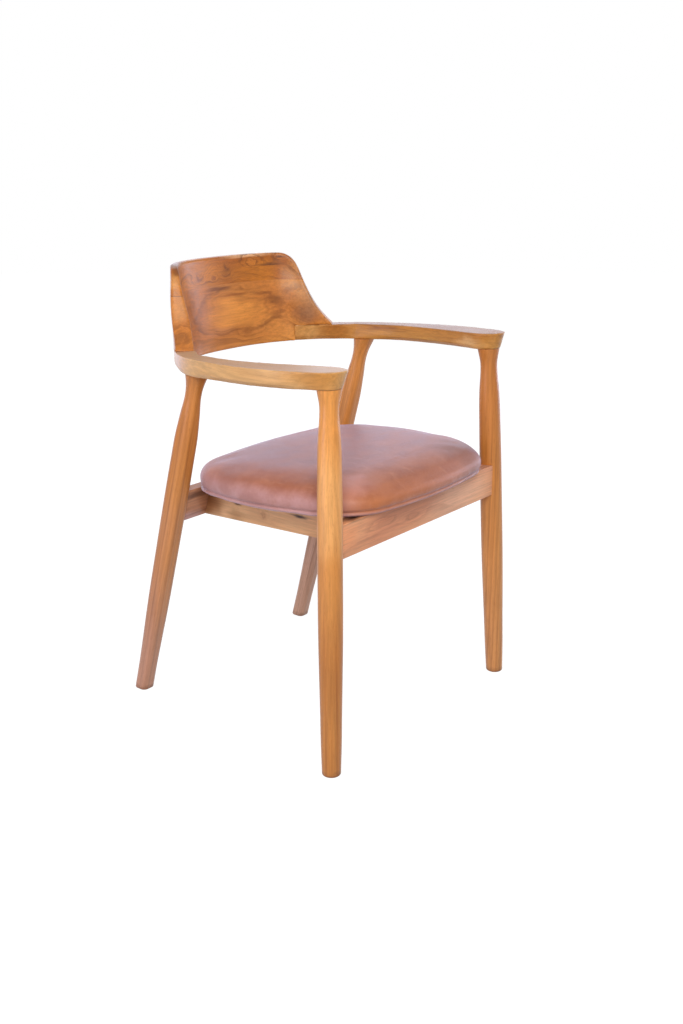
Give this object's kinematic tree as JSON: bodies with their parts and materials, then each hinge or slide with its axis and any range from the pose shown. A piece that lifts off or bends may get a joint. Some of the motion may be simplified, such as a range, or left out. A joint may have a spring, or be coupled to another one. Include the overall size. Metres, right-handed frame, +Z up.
{
  "type": "armchair",
  "caption": "Wooden armchair with a curved back and arms in one sweep, tapered round legs and a domed leather seat pad.",
  "frame": {"origin": "on the floor, under the middle of the chair's bounding box", "axes": "+Z up, -Y the way the sitter faces, +X to the sitter's left"},
  "size_m": [0.525, 0.513, 0.762],
  "materials": {
    "leg_wood": "satin oiled",
    "arm_wood": "satin oiled",
    "back_wood": "satin oiled, strongly figured",
    "rail_wood": "satin oiled",
    "block_wood": "raw",
    "seat_leather": "smooth, satin sheen",
    "seat_foam": "raw foam",
    "seat_board": "raw plywood",
    "screw_steel": "zinc plated"
  },
  "bodies": {
    "root": {"front_leg_left": "leg_wood", "rear_leg_left": "leg_wood", "arm_left": "arm_wood", "side_rail_left": "rail_wood", "corner_block_front_left": "block_wood", "corner_block_rear_left": "block_wood", "front_leg_right": "leg_wood", "rear_leg_right": "leg_wood", "arm_right": "arm_wood", "side_rail_right": "rail_wood", "corner_block_front_right": "block_wood", "corner_block_rear_right": "block_wood", "front_rail": "rail_wood", "rear_rail": "rail_wood", "back_lower_board": "back_wood", "back_upper_board": "back_wood", "arm_dowels": "block_wood", "back_dowels": "block_wood", "seat_leather": "seat_leather", "seat_foam": "seat_foam", "seat_board": "seat_board", "seat_screws": "screw_steel"}
  },
  "joints": []
}
